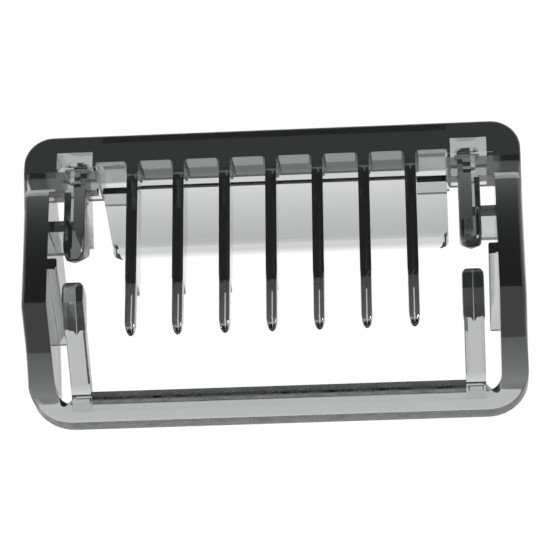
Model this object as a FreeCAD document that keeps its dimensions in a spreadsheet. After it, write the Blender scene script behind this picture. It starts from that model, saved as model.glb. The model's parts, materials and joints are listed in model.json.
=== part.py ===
import FreeCAD, Part
import math
import os
import re
import Sketcher
from FreeCAD import Placement, Rotation, Vector

# Click-on guard comb for a small trimmer, one clear moulding divided into its features.
#
# Design frame, in millimetres: X across the comb, Y from the rear bar towards the front rail, and Z
# square to the skin plane, which is Z = 0. The kink of the side walls' rims is at Y = 0. Behind the
# kink the rim follows a slope, on which "run" is the distance from the kink and "sink" is the depth
# below it. At the end every feature is placed so that the comb stands on its panel and its toes.

SIZES = {
    # name: (millimetres or degrees, meaning)
    "half_width": (20.0, "centre to the outside of a side wall"),
    "wall": (2.15, "side wall thickness"),
    "front": (14.5, "kink to the front of the rail"),
    "rail_back": (11.7, "kink to the back of the rail's ends"),
    "slot_back": (12.08, "kink to the back of the rail between the teeth"),
    "rail_depth": (6.6, "depth of the rail and corners"),
    "relief_front": (13.3, "kink to the front of the slant under the rail"),
    "front_radius": (2.4, "outer corner radius at the front"),
    "bay_end": (14.15, "centre to the outer end of the outermost slots"),
    "pocket_in": (14.4, "centre to the pocket's inner wall"),
    "pocket_out": (17.3, "centre to the pocket's outer wall"),
    "pocket_front": (13.02, "kink to the pocket's front wall"),
    "pocket_floor": (0.4, "thickness left under the pocket"),
    "boss_front": (12.4, "kink to the front of the pocket's boss"),
    "boss_half": (0.98, "half width of the pocket's boss"),
    "boss_top": (0.5, "depth of the boss's top"),
    "boss_height": (1.4, "height of the boss"),
    "shelf_back": (9.65, "kink to the back of the corner shelf"),
    "shelf": (1.2, "shelf thickness"),
    "window_in": (15.35, "centre to the shelf window's inner side"),
    "window_out": (16.35, "centre to the shelf window's outer side"),
    "window_back": (10.25, "kink to the shelf window's back"),
    "slope": (47.7, "slope of the rim behind the kink, in degrees"),
    "rear_run": (10.7, "run to the rear bar's outer edge"),
    "rear_top": (9.16, "run to the rear bar's inner edge, on top"),
    "rear_under": (8.7, "run to the rear bar's inner edge, underneath"),
    "rear_sink": (1.3, "thickness of the rear bar"),
    "wall_run": (7.2, "run to the end of the side wall"),
    "rear_radius": (3.3, "outer corner radius at the rear"),
    "rear_inner_radius": (1.6, "inner corner radius at the rear"),
    "arm_rear_depth": (9.3, "depth of the side wall's rear end"),
    "arm_heel_back": (0.3, "kink back to the side wall's rear heel"),
    "arm_heel_depth": (7.7, "depth of the side wall's rear heel"),
    "arm_toe": (4.17, "kink to the side wall's toe"),
    "arm_toe_depth": (11.8, "depth of the side wall's toe"),
    "arm_nose": (11.2, "kink to the side wall's nose"),
    "arm_nose_depth": (3.4, "depth of the side wall's nose"),
    "pitch": (3.72, "tooth spacing"),
    "tooth": (0.9, "tooth width"),
    "tip_back": (2.8, "kink back to the tooth tips"),
    "step": (1.76, "kink to the step in each tooth"),
    "finger": (1.4, "depth of the finger behind the step"),
    "tip": (0.7, "depth of the finger at its tip"),
    "heel": (3.8, "depth of a tooth at its step"),
    "root": (4.75, "greatest depth of a tooth"),
    "root_back": (9.08, "kink to where a tooth is deepest"),
    "ridge": (3.35, "depth of the slot floor's top"),
    "ridge_back": (11.25, "kink to the slot floor's back edge"),
    "floor": (0.65, "thickness of the slot floor"),
    "panel_half": (14.05, "half width of the panel"),
    "panel_back": (8.8, "kink to the panel's bottom edge"),
    "panel_depth": (11.4, "depth of the panel's bottom edge"),
    "panel": (1.0, "panel thickness, measured level"),
    "foot": (0.8, "height of the thicker edge at the panel's bottom"),
    "foot_step": (0.4, "how far that edge stands out from the panel"),
    "peg_in": (14.9, "centre to a guide peg's inner side"),
    "peg_out": (16.65, "centre to a guide peg's outer side"),
    "lip_back": (11.4, "kink to the back of the thin plates beside the pockets"),
    "peg_tip": (3.7, "kink to a guide peg's tip"),
    "peg_round": (0.8, "length of the rounded end of a guide peg"),
    "peg_bevel": (1.4, "how far the underside of a guide peg's end is set back"),
    "peg": (3.4, "depth of a guide peg's rear half"),
    "peg_front": (1.7, "depth of a guide peg's front half"),
    "gusset": (1.1, "thickness of the gusset under a guide peg"),
    "gusset_back": (6.7, "kink to the gusset's back"),
    "gusset_back_depth": (5.65, "depth of the gusset's back"),
    "gusset_front_depth": (3.4, "depth of the gusset's front"),
    "web_back": (6.1, "kink to the back of a web"),
    "web": (0.95, "web thickness"),
    "web_depth": (4.9, "depth of a web"),
    "rail_in": (17.1, "centre to a guide rail's inner side"),
    "guide_front": (3.9, "kink to a guide rail's front edge, on top"),
    "guide": (1.0, "guide rail width"),
    "guide_top": (0.1, "depth of a guide rail's top"),
    "post_in": (15.0, "centre to a snap post's inner side"),
    "post_out": (16.6, "centre to a snap post's outer side"),
    "post_sink": (0.25, "how far a snap post lies below the slope"),
    "post": (1.3, "thickness of a snap post"),
    "post_run": (8.08, "run to the centre of a snap post's root"),
    "hook_in": (14.93, "centre to a snap hook's inner side"),
    "hook_out": (16.67, "centre to a snap hook's outer side"),
    "hook_front": (1.88, "kink to the front of a snap hook"),
    "hook_front_depth": (2.6, "depth of a snap hook's front"),
    "hook_run": (2.85, "run from the kink down to a snap hook's end"),
    "hook_sink": (0.1, "how far a snap hook lies below the skin plane and the slope"),
    "hook": (2.5, "depth of a snap hook"),
}

doc = FreeCAD.newDocument("guard_comb")
sheet = doc.addObject("Spreadsheet::Sheet", "dims")
for row, (alias, (value, meaning)) in enumerate(SIZES.items(), start=1):
    sheet.set(f"A{row}", alias)
    sheet.set(f"B{row}", str(value))
    sheet.set(f"C{row}", meaning)
    sheet.setAlias(f"B{row}", alias)
doc.recompute()

subparts = []


def named(expression):
    """Write a formula of size names as one of references to the sheet."""
    return re.sub(r"[a-z_]+", lambda word: f"dims.{word[0]}" if word[0] in SIZES else word[0], expression)


def along_slope(run, sink):
    """Formulas for Y and Z of a point on the slope, from formulas for its run and sink."""
    y = f"({sink}) * sin(slope * 1deg) - ({run}) * cos(slope * 1deg)"
    z = f"0 - ({run}) * sin(slope * 1deg) - ({sink}) * cos(slope * 1deg)"
    return y, z


def new_sketch(body, plane):
    """Attach a sketch to one of the body's own origin planes."""
    sketch = body.newObject("Sketcher::SketchObject", f"{body.Name}_outline")
    support = [feature for feature in body.Origin.OriginFeatures if feature.Role == plane][0]
    sketch.AttachmentSupport = [(support, "")]
    sketch.MapMode = "FlatFace"
    return sketch


def fix_point(sketch, edge, end, point):
    """Tie an edge's end to the sheet with one horizontal and one vertical distance."""
    here = sketch.getPoint(edge, end)
    for kind, value, formula in zip(("DistanceX", "DistanceY"), (here.x, here.y), point):
        index = sketch.addConstraint(Sketcher.Constraint(kind, -1, 1, edge, end, value))
        sketch.renameConstraint(index, f"{kind[-1].lower()}{edge}_{end}")
        sketch.setExpression(f"Constraints[{index}]", named(formula))


def fix_centre(sketch, edge, formula):
    """Tie the first coordinate of an arc's centre to the sheet."""
    here = sketch.getPoint(edge, 3)
    index = sketch.addConstraint(Sketcher.Constraint("DistanceX", -1, 1, edge, 3, here.x))
    sketch.setExpression(f"Constraints[{index}]", named(formula))


def draw_polygon(sketch, points):
    """A closed polygon whose corners are pairs of formulas."""
    rough = [Vector(math.cos(2 * math.pi * i / len(points)), math.sin(2 * math.pi * i / len(points)), 0)
             for i in range(len(points))]
    for i, start in enumerate(rough):
        sketch.addGeometry(Part.LineSegment(start, rough[(i + 1) % len(rough)]), False)
    for i in range(len(points)):
        sketch.addConstraint(Sketcher.Constraint("Coincident", i, 2, (i + 1) % len(points), 1))
    for i, point in enumerate(points):
        fix_point(sketch, i, 1, point)


def pad_profile(name, points, near, far, side=1):
    """A body made of a Y-Z profile padded across X from near to far, mirrored when side is -1."""
    body = doc.addObject("PartDesign::Body", name)
    sketch = new_sketch(body, "YZ_Plane")
    draw_polygon(sketch, points)
    sketch.setExpression("AttachmentOffset.Base.z", named(f"({near}) * {side}"))
    pad = body.newObject("PartDesign::Pad", f"{name}_pad")
    pad.Profile = sketch
    pad.Reversed = side < 0
    pad.setExpression("Length", named(f"({far}) - ({near})"))
    body.Tip = pad
    return body


def pad_block(name, y, z, near, far, side=1):
    """A plain block: y and z are pairs of formulas for its limits."""
    corners = [(y[0], z[0]), (y[1], z[0]), (y[1], z[1]), (y[0], z[1])]
    return pad_profile(name, corners, near, far, side)


def register(feature, name):
    feature.Label = name
    subparts.append(feature)
    return feature


def box(name, corner, size):
    """A Part box whose lowest corner and size are formulas."""
    solid = doc.addObject("Part::Box", name)
    for axis, formula in zip("xyz", corner):
        solid.setExpression(f"Placement.Base.{axis}", named(formula))
    for side, formula in zip(("Length", "Width", "Height"), size):
        solid.setExpression(side, named(formula))
    return solid


def cut(name, base, tool):
    result = doc.addObject("Part::Cut", name)
    result.Base = base
    result.Tool = tool
    return result


def mirrored_corner(side, near, width):
    """Formula for the lowest X of a box that spans width outwards from near, on either side."""
    return near if side > 0 else f"0 - ({near}) - ({width})"


def make_front_rail():
    """The thick bar at the front, relieved behind and underneath, with a blind pocket near each end."""
    length = "2 * pocket_out"
    bar = box("rail_blank", ("0 - pocket_out", "rail_back", "0 - rail_depth"),
              (length, "front - rail_back", "rail_depth"))
    for side, word in ((-1, "left"), (1, "right")):
        width = "pocket_out - pocket_in"
        pocket = box(f"{word}_pocket",
                     (mirrored_corner(side, "pocket_in", width), "rail_back", "0 - rail_depth + pocket_floor"),
                     (width, "pocket_front - rail_back", "rail_depth - pocket_floor"))
        bar = cut(f"rail_with_{word}_pocket", bar, pocket)
    outline = [
        ("rail_back", "0"),
        ("slot_back", "0"),
        ("slot_back", "0 - ridge - floor"),
        ("relief_front", "0 - rail_depth"),
        ("rail_back", "0 - rail_depth"),
    ]
    relief = pad_profile("rail_relief", outline, "0 - bay_end", "bay_end")
    return register(cut("relieved_rail", bar, relief), "front_rail")


def make_pocket_boss(word, side):
    """A boss with a rounded front and a flat back against the shelf."""
    post = doc.addObject("Part::Cylinder", f"{word}_boss_cylinder")
    post.setExpression("Radius", named("boss_half"))
    post.setExpression("Height", named("boss_height"))
    post.setExpression("Placement.Base.x", named(f"(pocket_in + pocket_out) / 2 * {side}"))
    post.setExpression("Placement.Base.y", named("boss_front - boss_half"))
    post.setExpression("Placement.Base.z", named("0 - boss_top - boss_height"))
    width = "pocket_out - pocket_in"
    pocket = box(f"{word}_boss_limit",
                 (mirrored_corner(side, "pocket_in", width), "rail_back", "0 - rail_depth"),
                 (width, "pocket_front - rail_back", "rail_depth"))
    boss = doc.addObject("Part::Common", f"{word}_boss")
    boss.Base = post
    boss.Tool = pocket
    return register(boss, f"{word}_pocket_boss")


def make_front_corner(word, side):
    """A solid block with its outer upright edge rounded."""
    width = "half_width - pocket_out"
    block = box(f"{word}_corner_blank",
                (mirrored_corner(side, "pocket_out", width), "rail_back", "0 - rail_depth"),
                (width, "front - rail_back", "rail_depth"))
    doc.recompute()
    outer = SIZES["half_width"][0] * side
    front = SIZES["front"][0]
    edges = [index for index, edge in enumerate(block.Shape.Edges, start=1)
             if all(abs(vertex.X - outer) + abs(vertex.Y - front) < 1e-6 for vertex in edge.Vertexes)]
    rounded = doc.addObject("Part::Fillet", f"{word}_front_corner")
    rounded.Base = block
    radius = SIZES["front_radius"][0]
    rounded.Edges = [(index, radius, radius) for index in edges]
    return register(rounded, f"{word}_front_corner")


def make_corner_shelf(word, side):
    """A thin plate behind the pocket, with a small window above the peg."""
    width = "half_width - pocket_in"
    plate = box(f"{word}_shelf_blank",
                (mirrored_corner(side, "pocket_in", width), "shelf_back", "0 - shelf"),
                (width, "rail_back - shelf_back", "shelf"))
    opening = "window_out - window_in"
    window = box(f"{word}_window",
                 (mirrored_corner(side, "window_in", opening), "window_back", "0 - 2 * shelf"),
                 (opening, "(rail_back - window_back) * 0.8", "3 * shelf"))
    return register(cut(f"{word}_corner_shelf", plate, window), f"{word}_corner_shelf")


def make_side_wall(word, side):
    """The tall wall: flat rim, sloping rim, then a heel, a toe and a nose underneath."""
    outline = [
        ("shelf_back", "0"),
        ("0", "0"),
        along_slope("wall_run", "0"),
        (along_slope("wall_run", "0")[0], "0 - arm_rear_depth"),
        ("0 - arm_heel_back", "0 - arm_heel_depth"),
        ("arm_toe", "0 - arm_toe_depth"),
        ("arm_nose", "0 - arm_nose_depth"),
        ("shelf_back", "0 - shelf"),
    ]
    wall = pad_profile(f"{word}_side_wall", outline, "half_width - wall", "half_width", side)
    return register(wall, f"{word}_side_wall")


def slope_sketch(body):
    """A sketch on the slope: its X is across the comb and its Y runs up towards the kink."""
    sketch = new_sketch(body, "XY_Plane")
    sketch.AttachmentOffset = Placement(Vector(), Rotation(Vector(1, 0, 0), SIZES["slope"][0]))
    sketch.setExpression("AttachmentOffset.Rotation.Angle", named("slope * 1deg"))
    return sketch


def pad_down(body, sketch):
    """Pad a sketch on the slope straight down, so that its outer faces stand upright."""
    pad = body.newObject("PartDesign::Pad", f"{body.Name}_pad")
    pad.Profile = sketch
    pad.UseCustomVector = True
    pad.Direction = Vector(0, 0, -1)
    pad.AlongSketchNormal = False
    pad.setExpression("Length", named("rear_sink / cos(slope * 1deg)"))
    body.Tip = pad


def draw_outline(sketch, points, rough, bulges):
    """A closed outline: rough gives its first shape and bulges a point on each edge that is an arc."""
    count = len(rough)
    ends = []
    for i, start in enumerate(rough):
        stop = rough[(i + 1) % count]
        curve = Part.Arc(start, bulges[i], stop) if i in bulges else Part.LineSegment(start, stop)
        sketch.addGeometry(curve, False)
        along = sketch.getPoint(i, 1).distanceToPoint(start) < 1e-6
        ends.append((1, 2) if along else (2, 1))
    for i in range(count):
        following = (i + 1) % count
        sketch.addConstraint(Sketcher.Constraint("Coincident", i, ends[i][1], following, ends[following][0]))
    for i, point in enumerate(points):
        fix_point(sketch, i, ends[i][0], point)


def make_rear_corner(word, side):
    """A flat corner that turns from the side wall to the rear bar, round outside and inside."""
    body = doc.addObject("PartDesign::Body", f"{word}_rear_corner")
    sketch = slope_sketch(body)
    outer = f"half_width * {side}"
    inner = f"(half_width - wall) * {side}"
    turn_out = f"(half_width - rear_radius) * {side}"
    turn_in = f"(half_width - wall - rear_inner_radius) * {side}"
    points = [
        (outer, "0 - wall_run"),
        (outer, "rear_radius - rear_run"),
        (turn_out, "0 - rear_run"),
        (turn_in, "0 - rear_run"),
        (turn_in, "0 - rear_top"),
        (inner, "rear_inner_radius - rear_top"),
        (inner, "0 - wall_run"),
    ]
    rough = [Vector(20 * side, -7.0, 0), Vector(20 * side, -7.5, 0), Vector(17 * side, -10.5, 0),
             Vector(16 * side, -10.5, 0), Vector(16 * side, -9, 0), Vector(18 * side, -7.2, 0),
             Vector(18 * side, -7.0, 0)]
    bulges = {1: Vector(19.1 * side, -9.6, 0), 4: Vector(17.4 * side, -8.5, 0)}
    draw_outline(sketch, points, rough, bulges)
    fix_centre(sketch, 1, turn_out)
    fix_centre(sketch, 4, turn_in)
    pad_down(body, sketch)
    return register(body, f"{word}_rear_corner")


def make_rear_bar():
    """The flat rear bar, with an inner edge that slants under its top."""
    outline = [
        along_slope("rear_top", "0"),
        along_slope("rear_run", "0"),
        along_slope("rear_run + rear_sink * tan(slope * 1deg)", "rear_sink"),
        along_slope("rear_under", "rear_sink"),
    ]
    reach = "half_width - wall - rear_inner_radius"
    return register(pad_profile("rear_bar", outline, f"0 - ({reach})", reach), "rear_bar")


def make_tooth(number):
    """A deep rib from the rail to a step, then a thin finger with a rounded tip."""
    outline = [
        ("slot_back", "0"),
        ("0.25 * tip - tip_back", "0"),
        ("0 - tip_back", "0 - 0.3 * tip"),
        ("0 - tip_back", "0 - 0.7 * tip"),
        ("0.3 * tip - tip_back", "0 - tip"),
        ("step", "0 - finger"),
        ("step", "0 - heel"),
        ("root_back", "0 - root"),
        ("ridge_back", "0 - ridge"),
        ("slot_back", "0 - ridge"),
    ]
    offset = number - 4
    near = f"{offset} * pitch - tooth / 2"
    far = f"{offset} * pitch + tooth / 2"
    return register(pad_profile(f"tooth_{number}", outline, near, far), f"tooth_{number}")


def panel_face(depth, forward="0"):
    """Formula for Y on the panel's leaning inner face at a depth, moved forward."""
    lean = "(ridge_back - panel_back) / (panel_depth - ridge)"
    return f"ridge_back - {lean} * ({depth} - ridge) + {forward}"


def make_slot_floor():
    """The floor of the slots between the outer teeth, from the rail to the panel."""
    outline = [
        ("ridge_back", "0 - ridge"),
        ("slot_back", "0 - ridge"),
        ("slot_back", "0 - ridge - floor"),
        (panel_face("ridge + floor"), "0 - ridge - floor"),
    ]
    reach = "3 * pitch + tooth / 2"
    return register(pad_profile("slot_floor", outline, f"0 - ({reach})", reach), "slot_floor")


def leaning_plate(name, top, bottom, proud):
    """A part of the panel between two depths, standing proud of its inner face."""
    outline = [
        (panel_face(top, f"0 - {proud}"), f"0 - ({top})"),
        (panel_face(top, "panel"), f"0 - ({top})"),
        (panel_face(bottom, "panel"), f"0 - ({bottom})"),
        (panel_face(bottom, f"0 - {proud}"), f"0 - ({bottom})"),
    ]
    return register(pad_profile(name, outline, "0 - panel_half", "panel_half"), name)


def make_panel_lip(word, side):
    """The thin plate that carries the pocket's floor on under the rail, towards the teeth."""
    slant = "(relief_front - slot_back) / (rail_depth - ridge - floor)"
    outline = [
        ("lip_back", "pocket_floor - rail_depth"),
        (f"relief_front - {slant} * pocket_floor", "pocket_floor - rail_depth"),
        ("relief_front", "0 - rail_depth"),
        ("lip_back", "0 - rail_depth"),
    ]
    lip = pad_profile(f"{word}_panel_lip", outline, "3 * pitch + tooth / 2", "bay_end", side)
    return register(lip, f"{word}_panel_lip")


def make_guide_peg(word, side):
    """A bar that points backwards from the shelf, deeper behind the web, with a rounded end."""
    outline = [
        ("shelf_back", "0"),
        ("peg_tip + 0.6 * peg_round", "0"),
        ("peg_tip", "0 - 0.4 * peg_round"),
        ("peg_tip", "0 - peg_round"),
        ("peg_tip + peg_bevel", "0 - peg"),
        ("web_back + web", "0 - peg"),
        ("web_back + web", "0 - peg_front"),
        ("shelf_back", "0 - peg_front"),
    ]
    peg = pad_profile(f"{word}_guide_peg", outline, "peg_in", "peg_out", side)
    return register(peg, f"{word}_guide_peg")


def make_peg_gusset(word, side):
    """The rib under the front half of a guide peg, back to the rail."""
    outline = [
        ("shelf_back", "0 - peg_front"),
        ("web_back + web", "0 - peg_front"),
        ("web_back + web", "0 - gusset_back_depth"),
        ("rail_back", "0 - gusset_front_depth"),
        ("rail_back", "0 - shelf"),
        ("shelf_back", "0 - shelf"),
    ]
    gusset = pad_profile(f"{word}_peg_gusset", outline, "peg_in", "peg_in + gusset", side)
    return register(gusset, f"{word}_peg_gusset")


def make_web(word, side):
    """The upright plate that ties a guide peg to the side wall."""
    web = pad_block(f"{word}_web", ("web_back", "web_back + web"), ("0 - web_depth", "0"),
                    "peg_out", "half_width - wall", side)
    return register(web, f"{word}_web")


def make_guide_rail(word, side):
    """A slanted rib inside the side wall, from the rim to the heel."""
    outline = [
        ("guide_front", "0 - guide_top"),
        ("guide_front - guide", "0 - guide_top"),
        ("0 - arm_heel_back - 0.7 * guide", "0.85 * guide - arm_heel_depth"),
        ("0 - arm_heel_back - 0.4 * guide", "0.3 * guide - arm_heel_depth"),
        ("0 - arm_heel_back + 0.1 * guide", "0.1 * guide - arm_heel_depth"),
    ]
    rail = pad_profile(f"{word}_guide_rail", outline, "rail_in", "half_width - wall", side)
    return register(rail, f"{word}_guide_rail")


def make_snap_post(word, side):
    """A flexing leaf along the slope, with a half-round root where it bends."""
    body = doc.addObject("PartDesign::Body", f"{word}_snap_post")
    sketch = new_sketch(body, "YZ_Plane")
    sketch.AttachmentOffset = Placement(Vector(), Rotation(Vector(0, 0, 1), SIZES["slope"][0]))
    sketch.setExpression("AttachmentOffset.Rotation.Angle", named("slope * 1deg"))
    top = "0 - post_sink"
    under = "0 - post_sink - post"
    points = [("0 - hook_run", top), ("0 - post_run", top), ("0 - post_run", under), ("0 - hook_run", under)]
    rough = [Vector(-3, 0, 0), Vector(-8, 0, 0), Vector(-8, -1, 0), Vector(-3, -1, 0)]
    draw_outline(sketch, points, rough, {1: Vector(-8.5, -0.5, 0)})
    fix_centre(sketch, 1, "0 - post_run")
    sketch.setExpression("AttachmentOffset.Base.z", named(f"post_in * {side}"))
    pad = body.newObject("PartDesign::Pad", f"{word}_post_pad")
    pad.Profile = sketch
    pad.Reversed = side < 0
    pad.setExpression("Length", named("post_out - post_in"))
    body.Tip = pad
    return register(body, f"{word}_snap_post")


def make_snap_hook(word, side):
    """The deep head of a snap arm, which bends with the rim and is bevelled at both ends."""
    outline = [
        ("hook_front", "0 - hook_sink - 0.35"),
        ("hook_front - 0.35", "0 - hook_sink"),
        ("hook_sink * tan(slope * 0.5deg)", "0 - hook_sink"),
        along_slope("hook_run - 0.3", "hook_sink"),
        along_slope("hook_run", "hook_sink + 0.2"),
        along_slope("hook_run", "post_sink + post"),
        along_slope("hook_run - 0.9", "hook_sink + hook"),
        ("hook_front", "0 - hook_front_depth"),
    ]
    hook = pad_profile(f"{word}_snap_hook", outline, "hook_in", "hook_out", side)
    return register(hook, f"{word}_snap_hook")


def build():
    make_front_rail()
    for word, side in (("left", -1), ("right", 1)):
        make_pocket_boss(word, side)
        make_front_corner(word, side)
        make_corner_shelf(word, side)
        make_side_wall(word, side)
        make_rear_corner(word, side)
        make_panel_lip(word, side)
        make_guide_peg(word, side)
        make_peg_gusset(word, side)
        make_web(word, side)
        make_guide_rail(word, side)
        make_snap_post(word, side)
        make_snap_hook(word, side)
    make_rear_bar()
    for number in range(1, 8):
        make_tooth(number)
    make_slot_floor()
    leaning_plate("number_panel", "ridge + floor", "panel_depth - foot", "0")
    leaning_plate("panel_foot", "panel_depth - foot", "panel_depth", "foot_step")


def point_on_slope(run, sink):
    """The same point as along_slope gives, worked out as a vector."""
    slope = math.radians(SIZES["slope"][0])
    return Vector(0, sink * math.sin(slope) - run * math.cos(slope),
                  -run * math.sin(slope) - sink * math.cos(slope))


def standing_placement():
    """Stand the comb on the side walls' toes and the panel's foot, centred over the origin.

    Its centre of mass lies above the strip between those two supports."""
    size = {name: value for name, (value, _) in SIZES.items()}
    slope = math.radians(size["slope"])
    toe = Vector(0, size["arm_toe"], -size["arm_toe_depth"])
    panel_foot = Vector(0, size["panel_back"] - size["foot_step"], -size["panel_depth"])
    lean = math.atan2(toe.z - panel_foot.z, panel_foot.y - toe.y)
    turn = Rotation(Vector(1, 0, 0), math.degrees(lean))
    rear_edge = size["rear_run"] + size["rear_sink"] * math.tan(slope)
    hindmost = turn.multVec(point_on_slope(rear_edge, size["rear_sink"]))
    foremost = turn.multVec(Vector(0, size["front"], 0))
    return Placement(Vector(0, -(hindmost.y + foremost.y) / 2, -turn.multVec(toe).z), turn)


def check(feature):
    if "Invalid" in feature.State or "Error" in feature.State:
        raise RuntimeError(f"{feature.Label} failed: {feature.State}")


build()
doc.recompute()
standing = standing_placement()
for subpart in subparts:
    subpart.Placement = standing.multiply(subpart.Placement)
doc.recompute()

for feature in doc.Objects:
    check(feature)
for subpart in subparts:
    if subpart.Shape.isNull() or not subpart.Shape.isValid() or len(subpart.Shape.Solids) != 1:
        raise RuntimeError(f"{subpart.Label} is not one valid solid")

os.makedirs("parts", exist_ok=True)
for subpart in subparts:
    subpart.Shape.exportStep(f"parts/{subpart.Label}.step")
print(f"{len(subparts)} sub-parts, standing placement {standing}")
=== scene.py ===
import json
import math

import bmesh
import bpy
from mathutils import Matrix, Vector


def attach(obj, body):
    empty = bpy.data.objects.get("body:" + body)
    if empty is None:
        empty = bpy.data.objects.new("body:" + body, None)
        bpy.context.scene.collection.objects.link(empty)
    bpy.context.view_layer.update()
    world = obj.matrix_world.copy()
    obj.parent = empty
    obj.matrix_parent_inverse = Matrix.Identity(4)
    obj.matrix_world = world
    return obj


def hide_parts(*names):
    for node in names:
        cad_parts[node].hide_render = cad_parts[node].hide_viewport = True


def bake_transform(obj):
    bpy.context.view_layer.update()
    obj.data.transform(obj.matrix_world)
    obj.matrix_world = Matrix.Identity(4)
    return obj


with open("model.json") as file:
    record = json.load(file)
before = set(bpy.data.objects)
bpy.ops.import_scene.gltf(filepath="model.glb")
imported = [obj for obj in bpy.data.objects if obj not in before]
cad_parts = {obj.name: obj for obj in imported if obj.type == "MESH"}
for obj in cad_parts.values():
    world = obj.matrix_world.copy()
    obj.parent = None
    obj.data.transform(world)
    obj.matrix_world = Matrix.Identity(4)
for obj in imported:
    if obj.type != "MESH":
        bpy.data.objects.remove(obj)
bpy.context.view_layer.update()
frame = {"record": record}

# Everything is drawn in the comb's own design frame, in millimetres: X across, Y from the rear bar to
# the front rail, Z square to the skin plane, Z = 0, with Y = 0 where the side rims bend down.
# design_to_row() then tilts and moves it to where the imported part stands. Depths are negative heights.
# A run is a distance down the rear slope from the kink, and a sink is a depth square to that slope.
# OVERLAP is how far joined features and cutters reach past a face, and HAIR keeps neighbours apart.
MM = 0.001
SKIN_MOUNT_Y = 12.9
OVERLAP = 0.1
HAIR = 0.01
SIDES = (("left", -1), ("right", 1))

# The frame's rim: its outline from above, and the rear slope and bar.
HALF_WIDTH = 20.0
WALL_INNER = 17.85
FRONT = 14.5
FRONT_RADIUS = 2.4
RAIL_BACK = 11.7
RAIL_BOTTOM = -6.6
SLOPE = math.radians(47.7)
REAR_RUN = 10.7
REAR_TOP_RUN = 9.16
REAR_UNDER_RUN = 8.7
REAR_SINK = 1.3
REAR_RADIUS = 3.3
REAR_INNER_RADIUS = 1.6
REAR_LEDGE = 0.68
REAR_LEDGE_SINK = 0.1

# The side walls: Y and height of their lower corners.
WALL_RUN = 7.2
WALL_REAR_BOTTOM = -9.3
HEEL = (-0.3, -7.7)
TOE = (4.17, -11.8)
NOSE = (11.2, -3.4)

# The rounding of the rim's edges. The side walls' fades out between the two places given.
SIDE_FILLET = 0.55
SIDE_DROP = 1.6
SIDE_FILLET_RUN = 4
SIDE_FILLET_FRONT = 8
FRONT_FILLET = 0.3
REAR_FILLET = 0.16
INNER_FILLET = 0.1
EDGE_STEPS = 8

# The corner shelves, the pockets in the rail's ends and their bosses.
SHELF = 1.2
SHELF_BACK = 9.65
SHELF_IN = 14.0
WINDOW_X = (15.35, 16.35)
WINDOW_Y = (10.25, 11.4)
POCKET_X = (14.4, 17.3)
POCKET_FRONT = 13.02
POCKET_BACK = 11.2
POCKET_FLOOR = -6.2
BOSS_X = 15.7
BOSS_HALF = 0.98
BOSS_FRONT = 12.4
BOSS_ROUND = 0.5
BOSS_Z = (-1.9, -0.5)

# The teeth, the slots between them and the relief under the rail.
TOOTH_PITCH = 3.72
TOOTH_HALF = 0.45
FINGER_HALF = TOOTH_HALF * 0.98
FINGER_SINK = -0.012
BAY_END = 14.15
SLOT_BACK = 12.08
SLOT_ROUND = 0.32
RELIEF_FRONT = 13.3
LIP_BACK = 11.4

# The slot floor and the leaning panel with its foot.
RIDGE = -3.35
RIDGE_BACK = 11.25
FLOOR_BOTTOM = -4.0
PANEL_HALF = 14.05
PANEL_BACK = 8.8
PANEL_BOTTOM = -11.4
PANEL = 1.0
PANEL_TAPER = 0.4
CORNER_ROUND = 0.8
FOOT_TOP = -10.6
FOOT_BACK_STEP = 0.4
FOOT_FRONT_STEP = 0.2
LEAN = (RIDGE_BACK - PANEL_BACK) / (RIDGE - PANEL_BOTTOM)

# The guide pegs with their webs, and the snap arms' posts.
PEG_X = 15.775
PEG_HALF = 0.875
WEB_Y = (6.1, 7.05)
POST_X = 15.8
POST_HALF = 0.8
POST_START_RUN = 7.6
POST_END_RUN = 9.84
POST_SINK = 0.12

# Where the matt finish and the painted shade of the rear bar's outer and inner faces begin and end.
MATT_AND_SHADE_RUN = 7.4
MATT_AND_SHADE_INNER_RUN = 8.4
MATT_AND_SHADE_INNER_BACK = -6.6


def skin_mount():
    """The record's mount on the skin plane."""
    return next(mount for mount in frame["record"]["mounts"] if mount["name"] == "skin_face")


def design_to_row():
    """The matrix from the design frame in millimetres to the row frame in metres."""
    mount = skin_mount()
    lean = math.atan2(-mount["axis"][1], mount["axis"][2])
    turn = Matrix.Rotation(lean, 4, "X") @ Matrix.Scale(MM, 4)
    shift = Vector(mount["pos_m"]) - turn @ Vector((0, SKIN_MOUNT_Y, 0))
    return Matrix.Translation(shift) @ turn


TO_ROW = design_to_row()


def share_of(value):
    """A value held between 0 and 1."""
    return min(max(value, 0), 1)


def mesh_object(name, bm):
    """An object from a bmesh in the design frame, with its faces pointing outwards."""
    bmesh.ops.remove_doubles(bm, verts=bm.verts, dist=1e-5)
    bmesh.ops.dissolve_degenerate(bm, edges=bm.edges, dist=1e-5)
    bmesh.ops.recalc_face_normals(bm, faces=bm.faces)
    mesh = bpy.data.meshes.new(name)
    bm.to_mesh(mesh)
    bm.free()
    obj = bpy.data.objects.new(name, mesh)
    bpy.context.scene.collection.objects.link(obj)
    return obj


def skin_rows(bm, rows, closed=True):
    """Quads between rows of points; closed rows run round in a loop."""
    made = [[bm.verts.new(point) for point in row] for row in rows]
    for lower, upper in zip(made, made[1:]):
        count = len(lower)
        for i in range(count if closed else count - 1):
            j = (i + 1) % count
            bm.faces.new((lower[i], lower[j], upper[j], upper[i]))
    return made


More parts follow.
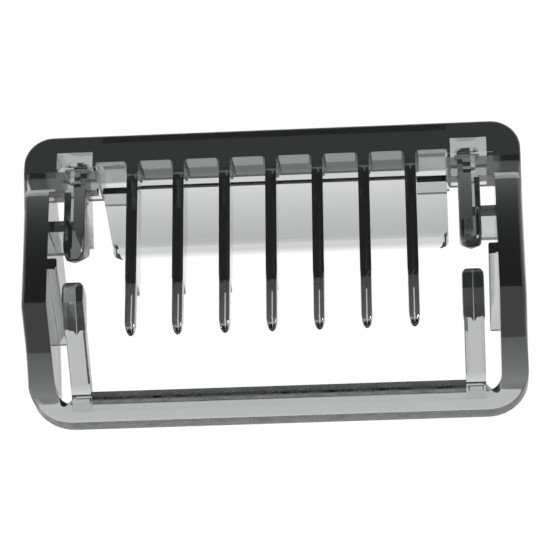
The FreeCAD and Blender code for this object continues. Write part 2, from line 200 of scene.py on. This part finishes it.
def prism(name, outline, axis, low, high, bevel=0.0):
    """A flat outline pushed along an axis.

    Outline points are the other two coordinates, in X, Y, Z order."""
    def point(pair, level):
        """The pair with the level put in at the axis's place."""
        values = list(pair)
        values.insert("XYZ".index(axis), level)
        return values
    bm = bmesh.new()
    bottom, top = skin_rows(bm, [[point(pair, level) for pair in outline] for level in (low, high)])
    bm.faces.new(bottom)
    bm.faces.new(top)
    if bevel:
        bmesh.ops.recalc_face_normals(bm, faces=bm.faces)
        bmesh.ops.bevel(bm, geom=list(bm.edges), offset=bevel, segments=2, profile=0.5,
                        affect="EDGES", clamp_overlap=True)
    return mesh_object(name, bm)


def block(name, x, y, z, bevel=0.0):
    """A box between three pairs of limits, given on the +X side."""
    outline = [(y[0], z[0]), (y[1], z[0]), (y[1], z[1]), (y[0], z[1])]
    return prism(name, outline, "X", min(x), max(x), bevel)


def arc(centre, radius, start, stop, steps):
    """Points on a circle's arc; the angles are in degrees."""
    angles = [math.radians(start + (stop - start) * i / steps) for i in range(steps + 1)]
    return [(centre[0] + radius * math.cos(a), centre[1] + radius * math.sin(a)) for a in angles]


def bar_along_y(name, x, stations, chamfer, keel, taper=1.0):
    """A bar with softened top edges and a wedge-shaped underside.

    Stations are (y, half width, top, bottom); keel is how far the underside's slants reach inwards,
    and taper how wide the bar still is above them."""
    rows = []
    for y, half, top, bottom in stations:
        cut = min(chamfer, half * 0.95, (top - bottom) * 0.3)
        near = cut * 0.3
        low = half * taper
        slant = min(keel, low * 0.98, (top - bottom) * 0.6)
        row = [(x + half, y, top - cut), (x + half - near, y, top - near), (x + half - cut, y, top)]
        row += [(x - half + cut, y, top), (x - half + near, y, top - near), (x - half, y, top - cut)]
        row += [(x - low, y, bottom + slant), (x - low + slant, y, bottom)]
        row += [(x + low - slant, y, bottom), (x + low, y, bottom + slant)]
        rows.append(row)
    bm = bmesh.new()
    made = skin_rows(bm, rows)
    bm.faces.new(made[0])
    bm.faces.new(made[-1])
    return mesh_object(name, bm)


def combine(base, parts, operation="UNION"):
    """Join parts to base, or cut them from it, and delete them."""
    for part in parts:
        modifier = base.modifiers.new("boolean", "BOOLEAN")
        modifier.operation = operation
        modifier.solver = "EXACT"
        modifier.object = part
        bpy.context.view_layer.update()
        graph = bpy.context.evaluated_depsgraph_get()
        result = bpy.data.meshes.new_from_object(base.evaluated_get(graph))
        base.modifiers.clear()
        base.data = result
        bpy.data.objects.remove(part)
    return base


# ---------------------------------------------------------------- the frame's rim

def on_rim(x, along):
    """A point on the rim's top: along is Y in front of the kink and minus the run behind it."""
    if along >= 0:
        return Vector((x, along, 0))
    return Vector((x, along * math.cos(SLOPE), along * math.sin(SLOPE)))


def below_rim(x, run, sink):
    """A point at a run and a depth square to the slope."""
    return Vector((x, sink * math.sin(SLOPE) - run * math.cos(SLOPE),
                   -run * math.sin(SLOPE) - sink * math.cos(SLOPE)))


def wall_bottom(y):
    """Height of a side wall's underside, from its nose and toe to its heel and the rear corner."""
    rear = -WALL_RUN * math.cos(SLOPE)
    knots = [(rear, WALL_REAR_BOTTOM), HEEL, TOE, NOSE]
    for (y0, z0), (y1, z1) in zip(knots, knots[1:]):
        if y <= y1:
            return z0 + (z1 - z0) * max(y - y0, 0) / (y1 - y0)
    return -SHELF


def rim_stations():
    """Right half of the rim, from the rear bar's middle to the rail's middle.

    Each station is (outer x, outer along, inner x, inner along, underside kind)."""
    stations = [(x, -REAR_RUN, x, -REAR_TOP_RUN, "bar") for x in (0, 4, 8, 12, 15)]
    outer_centre = (HALF_WIDTH - REAR_RADIUS, REAR_RADIUS - REAR_RUN)
    inner_centre = (WALL_INNER - REAR_INNER_RADIUS, REAR_INNER_RADIUS - REAR_TOP_RUN)
    outer = arc(outer_centre, REAR_RADIUS, -90, 0, 12)
    inner = arc(inner_centre, REAR_INNER_RADIUS, -90, 0, 12)
    stations += [(*a, *b, "bar") for a, b in zip(outer, inner)]
    heel = HEEL[0] / math.cos(SLOPE)
    slope_places = (-WALL_RUN, -5, -3.5, -2, heel, 0)
    level_places = (2, TOE[0], SIDE_FILLET_FRONT, 9, 10, NOSE[0] - HAIR)
    stations += [(HALF_WIDTH, a, WALL_INNER, a, "wall") for a in slope_places + level_places]
    stations += [(HALF_WIDTH, a, WALL_INNER, a, "shelf") for a in (NOSE[0], RAIL_BACK - HAIR)]
    front = arc((HALF_WIDTH - FRONT_RADIUS, FRONT - FRONT_RADIUS), FRONT_RADIUS, 0, 90, 12)
    stations.append((HALF_WIDTH, RAIL_BACK, WALL_INNER, RAIL_BACK, "rail"))
    stations += [(*a, WALL_INNER, RAIL_BACK, "rail") for a in front]
    stations += [(x, FRONT, x, RAIL_BACK, "rail") for x in (15, 12, 8, 4, 0)]
    return stations


def rim_undersides(outer, inner, kind, side):
    """Bottom points under a station's outer and inner edges."""
    top_out = on_rim(side * outer[0], outer[1])
    top_in = on_rim(side * inner[0], inner[1])
    if kind == "bar":
        drop = Vector((0, 0, -REAR_SINK / math.cos(SLOPE)))
        share = share_of((WALL_INNER - inner[0]) / REAR_INNER_RADIUS)
        under = below_rim(side * inner[0], REAR_UNDER_RUN + (inner[1] + REAR_TOP_RUN) * 0.4, REAR_SINK)
        return top_out + drop, under.lerp(top_in + drop, 1 - share)
    if kind == "wall":
        bottom = wall_bottom(top_out.y)
    else:
        bottom = -SHELF if kind == "shelf" else RAIL_BOTTOM
    return Vector((top_out.x, top_out.y, bottom)), Vector((top_in.x, top_in.y, bottom))


def rim_section(station, side):
    """One closed cross-section: across the top, over the rounded outer edge and back underneath."""
    outer, inner, kind = station[0:2], station[2:4], station[4]
    run = max(-outer[1], 0)
    share = share_of((run - SIDE_FILLET_RUN) / (REAR_RUN - REAR_RADIUS - SIDE_FILLET_RUN))
    radius = SIDE_FILLET + (REAR_FILLET - SIDE_FILLET) * share
    height = radius + (SIDE_DROP - SIDE_FILLET) * (1 - share)
    fillet_fade = NOSE[0] - HAIR - SIDE_FILLET_FRONT
    ahead = 1 if kind == "rail" else share_of((outer[1] - SIDE_FILLET_FRONT) / fillet_fade)
    radius += (FRONT_FILLET - radius) * ahead
    height += (FRONT_FILLET - height) * ahead
    edge = on_rim(side * outer[0], outer[1])
    across = Vector((side * inner[0], inner[1])) - Vector((side * outer[0], outer[1]))
    across = across.normalized()
    start = on_rim(side * outer[0] + across.x * radius, outer[1] + across.y * radius)
    stop = edge - Vector((0, 0, height))
    points = []
    for i in range(EDGE_STEPS + 1):
        t = i / EDGE_STEPS
        points.append(start * (1 - t) ** 2 + edge * 2 * t * (1 - t) + stop * t * t)
    bottom_out, bottom_in = rim_undersides(outer, inner, kind, side)
    ledge = on_rim(side * inner[0] - across.x * REAR_LEDGE, inner[1] - across.y * REAR_LEDGE)
    drop = REAR_LEDGE_SINK * share_of((WALL_INNER - inner[0]) / REAR_INNER_RADIUS) if kind == "bar" else 0
    lower = Vector((0, 0, -drop / math.cos(SLOPE)))
    lip = on_rim(side * inner[0], inner[1]) + lower
    lip_top = lip + (ledge - lip).normalized() * INNER_FILLET
    lip_low = lip + (bottom_in - lip).normalized() * INNER_FILLET
    middle = lip * 0.5 + (lip_top + lip_low) * 0.25
    return points + [bottom_out, bottom_in, lip_low, middle, lip_top, ledge]


def make_rim():
    """The whole frame's rim, as one ring of cross-sections."""
    right = [rim_section(station, 1) for station in rim_stations()]
    left = [rim_section(station, -1) for station in rim_stations()]
    sections = right + list(reversed(left))[1:-1]
    bm = bmesh.new()
    skin_rows(bm, sections + sections[:1])
    return mesh_object("comb_frame", bm)


# ---------------------------------------------------------------- features inside the frame

def make_shelf(side):
    """The thin plate behind a pocket, with its window."""
    shelf_x = (side * SHELF_IN, side * (WALL_INNER + OVERLAP))
    shelf = block("shelf", shelf_x, (SHELF_BACK, RAIL_BACK), (-SHELF, 0))
    window = block("window", (side * WINDOW_X[0], side * WINDOW_X[1]), WINDOW_Y, (-3, 1))
    return combine(shelf, [window], "DIFFERENCE")


def make_boss(side):
    """The low D-shaped block that stands in a pocket."""
    x = side * BOSS_X
    outline = arc((x + BOSS_HALF - BOSS_ROUND, BOSS_FRONT - BOSS_ROUND), BOSS_ROUND, 0, 90, 6)
    outline += arc((x - BOSS_HALF + BOSS_ROUND, BOSS_FRONT - BOSS_ROUND), BOSS_ROUND, 90, 180, 6)
    outline += [(x - BOSS_HALF, RAIL_BACK - OVERLAP), (x + BOSS_HALF, RAIL_BACK - OVERLAP)]
    return prism("boss", outline, "Z", *BOSS_Z, 0.25)


def tooth_x(number):
    """Where a tooth's middle is; tooth 4 is the middle one."""
    return (number - 4) * TOOTH_PITCH


def bay_cutter(low, high, round_low, round_high):
    """What is taken from the rail's back between two teeth; its corners can be round."""
    radius = SLOT_ROUND
    high_corner = [(high, SLOT_BACK)]
    low_corner = [(low, SLOT_BACK)]
    if round_high:
        high_corner = arc((high - radius, SLOT_BACK - radius), radius, 0, 90, 5)
    if round_low:
        low_corner = arc((low + radius, SLOT_BACK - radius), radius, 90, 180, 5)
    outline = [(low, RAIL_BACK - OVERLAP), (high, RAIL_BACK - OVERLAP)] + high_corner + low_corner
    return prism("bay", outline, "Z", FLOOR_BOTTOM - OVERLAP / 2, 1)


def relief_cutters():
    """The bays between the teeth, and the slanted relief underneath the rail."""
    outer = tooth_x(7) + TOOTH_HALF
    cutters = [bay_cutter(-BAY_END, -outer, False, True), bay_cutter(outer, BAY_END, True, False)]
    for number in range(1, 7):
        low = tooth_x(number) + TOOTH_HALF
        high = tooth_x(number + 1) - TOOTH_HALF
        cutters.append(bay_cutter(low, high, True, True))
    back = RAIL_BACK - OVERLAP
    below = RAIL_BOTTOM - OVERLAP
    slanted = [(back, FLOOR_BOTTOM), (SLOT_BACK, FLOOR_BOTTOM), (RELIEF_FRONT, RAIL_BOTTOM),
               (RELIEF_FRONT, below), (back, below)]
    cutters.append(prism("relief", slanted, "X", -BAY_END, BAY_END))
    return cutters


def make_tooth(number):
    """A deep rib with a step, then a slim finger with a bullet-shaped tip."""
    x = tooth_x(number)
    rib = bar_along_y("rib", x, [
        (1.72, TOOTH_HALF * 0.8, -0.06, -3.6),
        (1.82, TOOTH_HALF, 0, -3.8),
        (9.08, TOOTH_HALF, 0, -4.75),
        (11.2, TOOTH_HALF, 0, -3.4),
        (SLOT_BACK + OVERLAP, TOOTH_HALF, 0, -3.4),
    ], 0.05, 0.4, 0.72)
    finger_stations = [(2.6, FINGER_HALF, FINGER_SINK, -1.55), (0.5, FINGER_HALF, FINGER_SINK, -1.26)]
    steps = 8
    for i in range(steps):
        angle = math.radians(90 * i / (steps - 0.4))
        y = -1.75 - 1.05 * math.sin(angle)
        narrowing = math.cos(angle)
        finger_stations.append((y, FINGER_HALF * narrowing ** 0.8, FINGER_SINK - 0.28 * (1 - narrowing),
                                -0.75 - 0.3 * narrowing))
    finger = bar_along_y("finger", x, finger_stations, 0.12, 0.4)
    return combine(rib, [finger])


def leaning(obj):
    """Shear an upright plate so that it leans back like the panel."""
    for vertex in obj.data.vertices:
        vertex.co.y += LEAN * (vertex.co.z - RIDGE)
    return obj


def make_panel():
    """The hanging plate, thicker towards its rounded foot, with the slot floor on top."""
    radius = CORNER_ROUND
    low = arc((radius - PANEL_HALF, PANEL_BOTTOM + radius), radius, 180, 270, 6)
    low += arc((PANEL_HALF - radius, PANEL_BOTTOM + radius), radius, 270, 360, 6)
    top = FLOOR_BOTTOM + OVERLAP / 2
    plate = leaning(prism("plate", low + [(PANEL_HALF, top), (-PANEL_HALF, top)], "Y",
                          RIDGE_BACK, RIDGE_BACK + PANEL))
    for vertex in plate.data.vertices:
        if vertex.co.y > RIDGE_BACK + LEAN * (vertex.co.z - RIDGE) + PANEL / 2:
            down = (top - vertex.co.z) / (top - PANEL_BOTTOM)
            vertex.co.y += PANEL_TAPER * (2 * down - 1.1)
    foot = leaning(prism("foot", low + [(PANEL_HALF, FOOT_TOP), (-PANEL_HALF, FOOT_TOP)], "Y",
                         RIDGE_BACK - FOOT_BACK_STEP, RIDGE_BACK + PANEL + FOOT_FRONT_STEP))
    floor_front = SLOT_BACK + OVERLAP / 2
    floor_outline = [(RIDGE_BACK, RIDGE), (floor_front, RIDGE), (floor_front, FLOOR_BOTTOM),
                     (RIDGE_BACK + LEAN * (FLOOR_BOTTOM - RIDGE), FLOOR_BOTTOM)]
    reach = tooth_x(7) + TOOTH_HALF
    floor = prism("slot_floor", floor_outline, "X", -reach, reach)
    return combine(plate, [foot, floor])


def make_peg(side):
    """A guide peg with its gusset, its web and the thin plate beside the pocket's floor."""
    x = side * PEG_X
    half = PEG_HALF
    peg = bar_along_y("peg", x, [
        (SHELF_BACK + 0.2, half, 0, -1.7),
        (7.4, half, 0, -1.7),
        (7.05, half, 0, -3.4),
        (5.2, half, 0, -3.35),
        (4.7, half, -0.02, -2.6),
        (4.3, half * 0.92, -0.05, -1.9),
        (3.95, half * 0.75, -0.15, -1.4),
        (3.75, half * 0.5, -0.3, -1.1),
        (3.7, half * 0.35, -0.45, -0.95),
    ], 0.25, 0.45)
    front = RAIL_BACK - 0.02
    gusset_outline = [(front, -1.1), (front, -3.4), (6.8, -5.6), (6.8, -1.6), (9.0, -1.1)]
    gusset = prism("gusset", gusset_outline, "X", *sorted((side * 14.92, side * 16.0)))
    web = block("web", (side * 16.5, side * (WALL_INNER + OVERLAP)), WEB_Y, (-4.9, -HAIR), 0.08)
    lip_x = (side * (tooth_x(7) + TOOTH_HALF), side * (BAY_END + OVERLAP))
    lip = block("lip", lip_x, (LIP_BACK, POCKET_FRONT + OVERLAP), (RAIL_BOTTOM, POCKET_FLOOR))
    return combine(peg, [gusset, web, lip])


def post_bar(name, side, runs):
    """A length of a snap post; near the rear bar its top rises to the bar's own."""
    slant = 1 / math.cos(SLOPE)
    rise_run = 8.6
    stations = []
    for run in runs:
        sink = POST_SINK - (POST_SINK + HAIR) * share_of((run - rise_run) / (POST_END_RUN - rise_run))
        thickness = 1.42 - 0.2 * share_of((run - 8.0) / (rise_run - 8.0))
        y, height = -run * math.cos(SLOPE), -run * math.sin(SLOPE)
        stations.append((y, POST_HALF, height - sink * slant, height - thickness * slant))
    return bar_along_y(name, side * POST_X, stations, 0.08, 0.3)


def scarf_cutter(side, half, clearance, above):
    """Everything above or below the long slanted joint between a snap post and its root."""
    joint = [below_rim(0, POST_END_RUN, -0.02 + clearance), below_rim(0, POST_START_RUN, 1.5 + clearance)]
    past_end = POST_END_RUN + 2
    if above:
        beyond = [below_rim(0, POST_START_RUN, -3), below_rim(0, POST_END_RUN, -3)]
    else:
        beyond = [below_rim(0, POST_START_RUN - 0.4, 4), below_rim(0, past_end, 4)]
        beyond += [below_rim(0, past_end, -2), below_rim(0, POST_END_RUN, -2)]
    outline = [(point.y, point.z) for point in joint + beyond]
    x = side * POST_X
    return prism("scarf", outline, "X", x - half, x + half)


def make_post_root(side):
    """Where a snap post grows out of the rear bar, up to the slanted joint."""
    return post_bar("post_root", side, (POST_END_RUN, 9.2, 8.6, POST_START_RUN))


def make_guide_rail(side):
    """The slanted rib inside a side wall."""
    outline = [(3.9, -0.1), (2.9, -0.1), (-1.0, -6.85), (-0.8, -7.35), (-0.3, -7.6)]
    return prism("guide_rail", outline, "X", *sorted((side * 17.1, side * (WALL_INNER + OVERLAP))), 0.14)


def make_comb():
    """The whole fixed moulding as one closed mesh, so that light passes from feature to feature."""
    comb = make_rim()
    pockets = []
    notches = []
    notch_outline = [(SHELF_BACK, -SHELF), (11.39, -SHELF), (11.39, NOSE[1]), (10.9, NOSE[1])]
    for _, side in SIDES:
        pocket_x = (side * POCKET_X[0], side * POCKET_X[1])
        pockets.append(block("pocket", pocket_x, (POCKET_BACK, POCKET_FRONT), (POCKET_FLOOR, 1)))
        notches.append(prism("notch", notch_outline, "X", *sorted((side * 17.0, side * 21.0))))
    combine(comb, pockets + notches + relief_cutters(), "DIFFERENCE")
    combine(comb, [make_tooth(number) for number in range(1, 8)])
    combine(comb, [make_panel()])
    for _, side in SIDES:
        features = [make_shelf(side), make_boss(side), make_peg(side)]
        features += [make_guide_rail(side), make_post_root(side)]
        combine(comb, features)
        combine(comb, [scarf_cutter(side, POST_HALF + HAIR, 0.0, True)], "DIFFERENCE")
    return comb


# ---------------------------------------------------------------- snap arms

def make_snap_arm(word, side):
    """Post and hook as one piece; it starts where the post's root on the rear bar ends."""
    x = side * POST_X
    post = post_bar("post", side, (1.4, 3.0, 4.5, 6.0, 7.0, 8.0, 8.6, 9.2, POST_END_RUN + OVERLAP))
    combine(post, [scarf_cutter(side, 2.0, -HAIR, False)], "DIFFERENCE")

    def hook_station(y, half, lower, bottom):
        """A station whose top follows the rim, a little below it."""
        rim = y * math.tan(SLOPE) if y < 0 else 0
        return (y, half, rim - 0.1 - lower, bottom)

    hook = bar_along_y(f"{word}_snap_arm", x, [
        hook_station(1.88, 0.45, 0.45, -2.2),
        hook_station(1.78, 0.66, 0.25, -2.4),
        hook_station(1.5, 0.83, 0.06, -2.6),
        hook_station(1.2, 0.87, 0.0, -2.7),
        hook_station(0.05, 0.87, 0.0, -3.1),
        hook_station(-0.6, 0.87, 0.0, -3.3),
        hook_station(-1.45, 0.87, 0.0, -3.5),
        hook_station(-1.7, 0.78, 0.08, -3.6),
        hook_station(-1.88, 0.6, 0.25, -3.7),
        hook_station(-1.95, 0.4, 0.45, -3.7),
    ], 0.2, 0.84)
    return combine(hook, [post])


# ---------------------------------------------------------------- materials

def new_material(name):
    """An empty node material."""
    material = bpy.data.materials.new(name)
    material.use_nodes = True
    material.node_tree.nodes.clear()
    return material, material.node_tree.nodes, material.node_tree.links


def smoke_plastic(name, tint, roughest):
    """Clear tinted plastic: glassy, with a faint moulded ripple, fine scuffs and absorption inside."""
    material, nodes, links = new_material(name)
    output = nodes.new("ShaderNodeOutputMaterial")
    shader = nodes.new("ShaderNodeBsdfPrincipled")
    shader.inputs["Base Color"].default_value = (tint, tint * 1.005, tint * 1.01, 1)
    shader.inputs["Transmission Weight"].default_value = 1
    shader.inputs["IOR"].default_value = 1.56
    coordinates = nodes.new("ShaderNodeTexCoord")
    scuffs = nodes.new("ShaderNodeTexNoise")
    scuffs.inputs["Scale"].default_value = 900
    scuffs.inputs["Detail"].default_value = 4
    links.new(coordinates.outputs["Object"], scuffs.inputs["Vector"])
    roughness = nodes.new("ShaderNodeMapRange")
    roughness.inputs["From Min"].default_value = 0.35
    roughness.inputs["From Max"].default_value = 0.75
    roughness.inputs["To Min"].default_value = roughest * 0.25
    roughness.inputs["To Max"].default_value = roughest
    links.new(scuffs.outputs["Fac"], roughness.inputs["Value"])
    links.new(roughness.outputs["Result"], shader.inputs["Roughness"])
    ripple = nodes.new("ShaderNodeTexNoise")
    ripple.inputs["Scale"].default_value = 260
    ripple.inputs["Detail"].default_value = 2
    links.new(coordinates.outputs["Object"], ripple.inputs["Vector"])
    bump = nodes.new("ShaderNodeBump")
    bump.inputs["Strength"].default_value = 0.06
    bump.inputs["Distance"].default_value = 0.00012
    links.new(ripple.outputs["Fac"], bump.inputs["Height"])
    links.new(bump.outputs["Normal"], shader.inputs["Normal"])
    inside = nodes.new("ShaderNodeVolumeAbsorption")
    inside.inputs["Color"].default_value = (0.03, 0.045, 0.05, 1)
    inside.inputs["Density"].default_value = 565
    links.new(shader.outputs["BSDF"], output.inputs["Surface"])
    links.new(inside.outputs["Volume"], output.inputs["Volume"])
    return material


def studio_white(name, strength):
    """Pale matt paper, lit from within so that it stays even."""
    material, nodes, links = new_material(name)
    output = nodes.new("ShaderNodeOutputMaterial")
    glow = nodes.new("ShaderNodeEmission")
    glow.inputs["Color"].default_value = (1, 1, 0.99, 1)
    glow.inputs["Strength"].default_value = strength
    links.new(glow.outputs["Emission"], output.inputs["Surface"])
    return material


# ---------------------------------------------------------------- building

def finish_piece(obj, material):
    """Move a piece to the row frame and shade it."""
    obj.data.transform(TO_ROW)
    obj.data.polygons.foreach_set("use_smooth", [True] * len(obj.data.polygons))
    obj.data.set_sharp_from_angle(angle=math.radians(28))
    weighted = obj.modifiers.new("weighted", "WEIGHTED_NORMAL")
    weighted.keep_sharp = True
    weighted.weight = 100
    bpy.context.view_layer.update()
    graph = bpy.context.evaluated_depsgraph_get()
    obj.data = bpy.data.meshes.new_from_object(obj.evaluated_get(graph))
    obj.modifiers.clear()
    obj.data.materials.clear()
    obj.data.materials.append(material)


def body_nodes(body):
    """The CAD nodes of a body."""
    return frame["record"]["behaviour"]["bodies"][body]


def matt_and_shade_faces(obj, material):
    """Give the rear bar's upright outer face and its inner face a matt moulded finish and painted shade:
    a rougher copy of the plastic whose base colour is darker.
    """
    inverse = TO_ROW.inverted()
    upright = TO_ROW.to_3x3().inverted()
    obj.data.materials.append(material)
    for face in obj.data.polygons:
        place = inverse @ face.center
        normal = (upright @ face.normal).normalized()
        run = -(place.y * math.cos(SLOPE) + place.z * math.sin(SLOPE))
        sink = place.y * math.sin(SLOPE) - place.z * math.cos(SLOPE)
        outer = abs(normal.z) < 0.1 and sink > 0.2 and normal.y < -0.2 and run > MATT_AND_SHADE_RUN
        beside_post = abs(abs(place.x) - POST_X) > POST_HALF + OVERLAP
        behind = run > MATT_AND_SHADE_INNER_RUN and place.y > MATT_AND_SHADE_INNER_BACK
        inner = normal.y > 0.25 and normal.z > 0 and beside_post and behind
        if outer or inner:
            face.material_index = 1


plastic = smoke_plastic("smoke_clear", 0.97, 0.12)
# The matt copy is rougher, which is a real frosted finish, and its base colour of 0.86 against 0.97 is
# painted shade on the rear bar's outer and inner faces.
matt_and_shade_plastic = smoke_plastic("smoke_matt_and_shade", 0.86, 0.55)
comb = make_comb()
finish_piece(comb, plastic)
matt_and_shade_faces(comb, matt_and_shade_plastic)
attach(comb, "comb")
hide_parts(*body_nodes("comb"))

for word, side in SIDES:
    arm = make_snap_arm(word, side)
    finish_piece(arm, plastic)
    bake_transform(arm)
    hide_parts(*body_nodes(f"{word}_snap_arm"))

# ---------------------------------------------------------------- studio and camera

STUDIO_RADIUS = 0.8
STUDIO_HEIGHT = 0.45


def make_studio():
    """A round white floor with a white wall, open at the top."""
    bm = bmesh.new()
    lift = STUDIO_RADIUS * 0.1
    rings = [(STUDIO_RADIUS * 0.9, 0.0), (STUDIO_RADIUS, lift), (STUDIO_RADIUS, STUDIO_HEIGHT)]
    count = 96
    angles = [2 * math.pi * i / count for i in range(count)]
    rows = []
    for radius, height in rings:
        rows.append([(radius * math.cos(angle), radius * math.sin(angle), height) for angle in angles])
    made = skin_rows(bm, rows)
    bm.faces.new(made[0])
    mesh = bpy.data.meshes.new("studio")
    bm.to_mesh(mesh)
    bm.free()
    studio = bpy.data.objects.new("studio", mesh)
    bpy.context.scene.collection.objects.link(studio)
    studio.data.materials.append(studio_white("studio_paper", 1.02))


def soft_light(name, position, size, power):
    """A round area light that points at the comb."""
    light = bpy.data.lights.new(name, "AREA")
    light.shape = "DISK"
    light.size = size
    light.energy = power
    lamp = bpy.data.objects.new(name, light)
    lamp.location = position
    lamp.rotation_mode = "QUATERNION"
    lamp.rotation_quaternion = (-Vector(position)).to_track_quat("-Z", "Y")
    bpy.context.scene.collection.objects.link(lamp)


def make_camera():
    """Above and behind the comb, a little to its right, looking down through the teeth."""
    place = Vector((13.496, -77.581, 186.199))
    forward = Vector((-0.06511, 0.39078, -0.91818)).normalized()
    up = Vector((0.03571, 0.92045, 0.38921)).normalized()
    right = forward.cross(up)
    turn = TO_ROW.to_3x3().normalized()
    axes = Matrix((turn @ right, turn @ up, turn @ -forward)).transposed()
    data = bpy.data.cameras.new("camera")
    data.lens = 168.64
    data.sensor_width = 36
    data.clip_start = 0.01
    data.clip_end = 10
    camera = bpy.data.objects.new("camera", data)
    camera.matrix_world = Matrix.Translation(TO_ROW @ place) @ axes.to_4x4()
    bpy.context.scene.collection.objects.link(camera)
    bpy.context.scene.camera = camera


def make_world(grey):
    """An even grey sky."""
    world = bpy.data.worlds.new("world")
    world.use_nodes = True
    world.node_tree.nodes["Background"].inputs["Color"].default_value = (grey, grey, grey, 1)
    bpy.context.scene.world = world


make_studio()
make_world(0.28)
soft_light("key", (0.25, 0.1, 0.6), 0.12, 1.2)
soft_light("fill", (-0.35, -0.2, 0.5), 0.1, 0.6)
make_camera()

scene = bpy.context.scene
scene.view_settings.view_transform = "Standard"
scene.cycles.max_bounces = 32
scene.cycles.transmission_bounces = 32
scene.cycles.glossy_bounces = 16
scene.cycles.diffuse_bounces = 4
